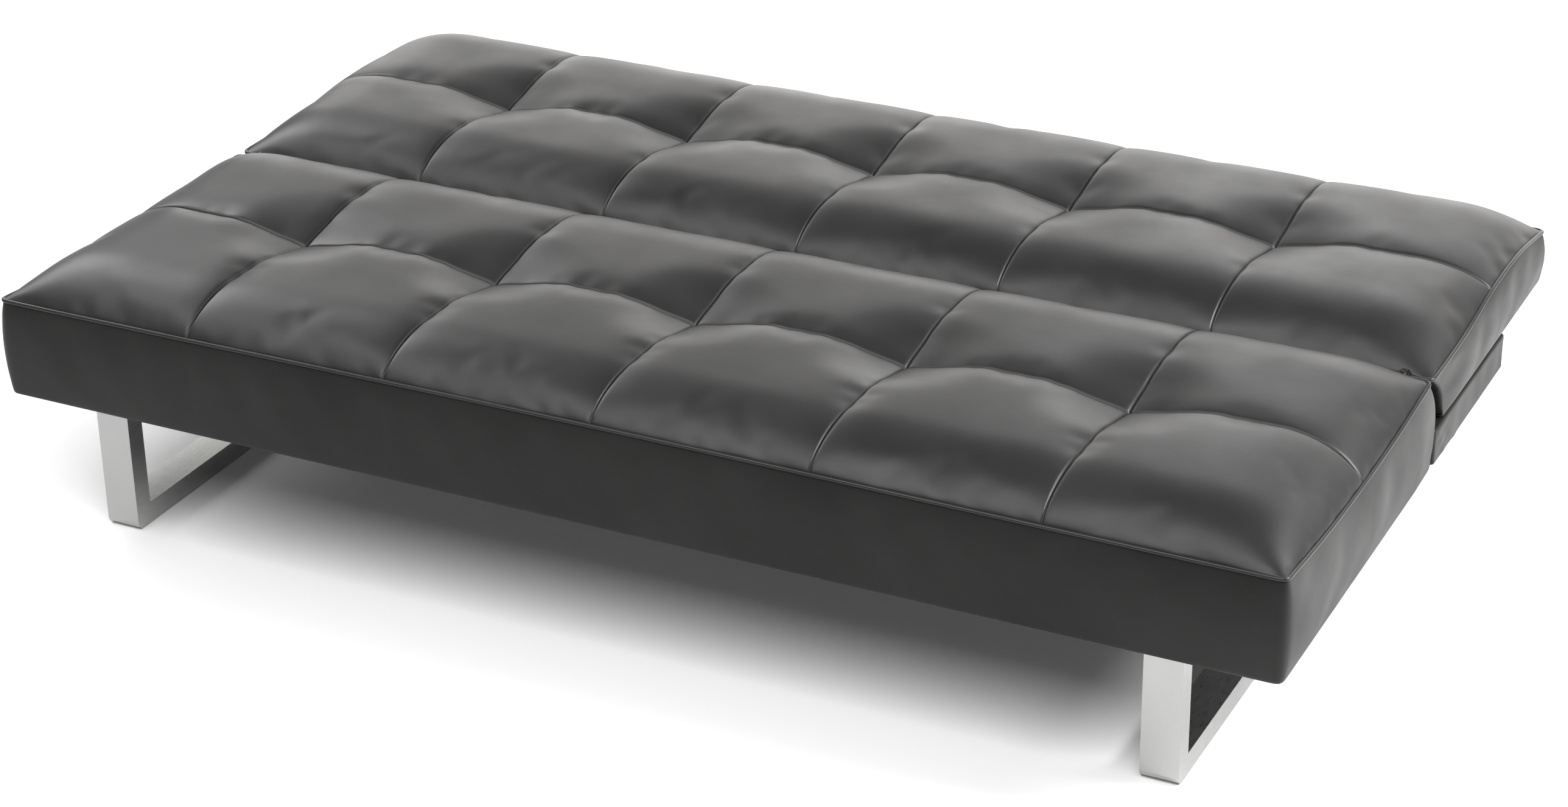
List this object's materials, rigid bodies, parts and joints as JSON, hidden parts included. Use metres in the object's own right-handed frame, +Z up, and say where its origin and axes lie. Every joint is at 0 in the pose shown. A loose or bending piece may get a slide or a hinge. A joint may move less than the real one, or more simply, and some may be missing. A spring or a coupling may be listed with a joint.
{
  "type": "futon sofa bed",
  "caption": "Click-clack sofa bed lying flat: tufted leather-look seat and swinging back on a low base box with steel sled legs.",
  "frame": {"origin": "on the floor, under the middle of the flat bed's outline", "axes": "+X along the sofa's length, +Y from the seat's front towards the back, +Z up"},
  "size_m": [1.8, 1.095, 0.3672],
  "materials": {
    "black_leather": "smooth black faux leather with a satin sheen",
    "leather_piping": "black faux leather over cord",
    "underside_cloth": "black non-woven dust cover",
    "cushion_foam": "cream upholstery foam",
    "frame_timber": "planed softwood",
    "spring_steel": "oiled spring wire",
    "satin_chrome": "satin chrome-plated steel tube",
    "zinc_hardware": "zinc-plated pressed steel"
  },
  "bodies": {
    "base": {"base_cover": "black_leather", "base_deck": "black_leather", "base_dust_cover": "underside_cloth", "base_leg_rail_left": "frame_timber", "base_leg_rail_right": "frame_timber", "base_rail_left": "frame_timber", "base_rail_rear": "frame_timber", "base_rail_right": "frame_timber", "hinge_bracket_left": "zinc_hardware", "hinge_bracket_right": "zinc_hardware", "hinge_pin_left": "zinc_hardware", "hinge_pin_right": "zinc_hardware", "leg_bolt_left_front_1": "zinc_hardware", "leg_bolt_left_front_2": "zinc_hardware", "leg_bolt_left_rear_1": "zinc_hardware", "leg_bolt_left_rear_2": "zinc_hardware", "leg_bolt_right_front_1": "zinc_hardware", "leg_bolt_right_front_2": "zinc_hardware", "leg_bolt_right_rear_1": "zinc_hardware", "leg_bolt_right_rear_2": "zinc_hardware", "leg_left": "satin_chrome", "leg_right": "satin_chrome", "seat_border_front": "black_leather", "seat_border_left": "black_leather", "seat_border_rear": "black_leather", "seat_border_right": "black_leather", "seat_dust_cover": "underside_cloth", "seat_foam": "cushion_foam", "seat_leg_rail_left": "frame_timber", "seat_leg_rail_right": "frame_timber", "seat_piping": "leather_piping", "seat_quilted_cover": "black_leather", "seat_rail_front": "frame_timber", "seat_rail_left": "frame_timber", "seat_rail_rear": "frame_timber", "seat_rail_right": "frame_timber", "seat_spring_1": "spring_steel", "seat_spring_2": "spring_steel", "seat_spring_3": "spring_steel", "seat_spring_4": "spring_steel"},
    "back": {"back_border_front": "black_leather", "back_border_left": "black_leather", "back_border_rear": "black_leather", "back_border_right": "black_leather", "back_foam": "cushion_foam", "back_outside_panel": "black_leather", "back_piping": "leather_piping", "back_quilted_cover": "black_leather", "back_rail_front": "frame_timber", "back_rail_left": "frame_timber", "back_rail_middle": "frame_timber", "back_rail_rear": "frame_timber", "back_rail_right": "frame_timber", "back_spring_1": "spring_steel", "back_spring_2": "spring_steel", "back_spring_3": "spring_steel", "back_spring_4": "spring_steel", "hinge_arm_left": "zinc_hardware", "hinge_arm_right": "zinc_hardware"}
  },
  "joints": [
    {"name": "back_hinge", "type": "hinge", "parent": "base", "child": "back", "pos_m": [0, 0.0175, 0.318], "axis": [1, 0, 0], "range_deg": [0, 82]}
  ]
}
